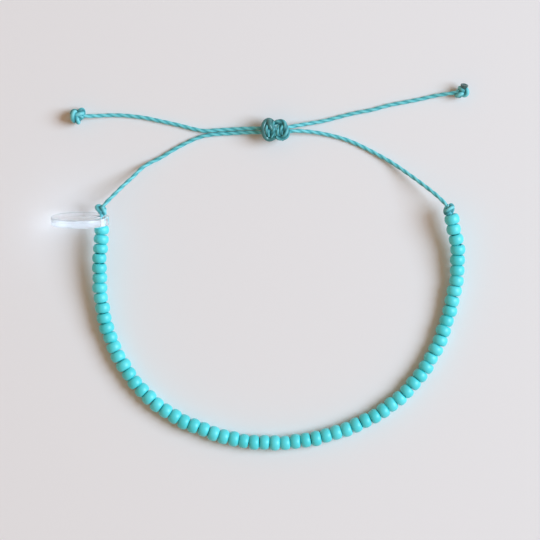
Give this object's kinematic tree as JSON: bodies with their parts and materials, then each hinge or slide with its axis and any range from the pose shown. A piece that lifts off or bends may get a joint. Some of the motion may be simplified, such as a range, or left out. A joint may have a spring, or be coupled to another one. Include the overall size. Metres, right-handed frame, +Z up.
{
  "type": "beaded bracelet",
  "caption": "Adjustable bracelet: a loop of round seed beads strung on waxed cord, with a sliding knot, knotted tail ends and one clear round disc charm.",
  "frame": {"origin": "on the surface that the bracelet lies on, under the middle of the box round the beads, the disc, the stopper knots and the sliding knot", "axes": "+X along the loop's longer way, from the side with the disc to the other side; +Y from the beads at the loop's far curve to the sliding knot; +Z up from the surface"},
  "size_m": [0.083, 0.0734, 0.0116],
  "materials": {
    "bead": "opaque pressed glass, turquoise, satin gloss",
    "cord": "waxed twisted polyester cord, turquoise, slight wax sheen",
    "charm": "clear cast acrylic, polished faces and rim"
  },
  "bodies": {
    "root": {"bead_string": "bead", "charm_disc": "charm", "stopper_knot_left": "cord", "stopper_knot_right": "cord", "sliding_knot": "cord", "tail_knot_left": "cord", "tail_knot_right": "cord", "cord_first": "cord", "cord_second": "cord"}
  },
  "joints": []
}
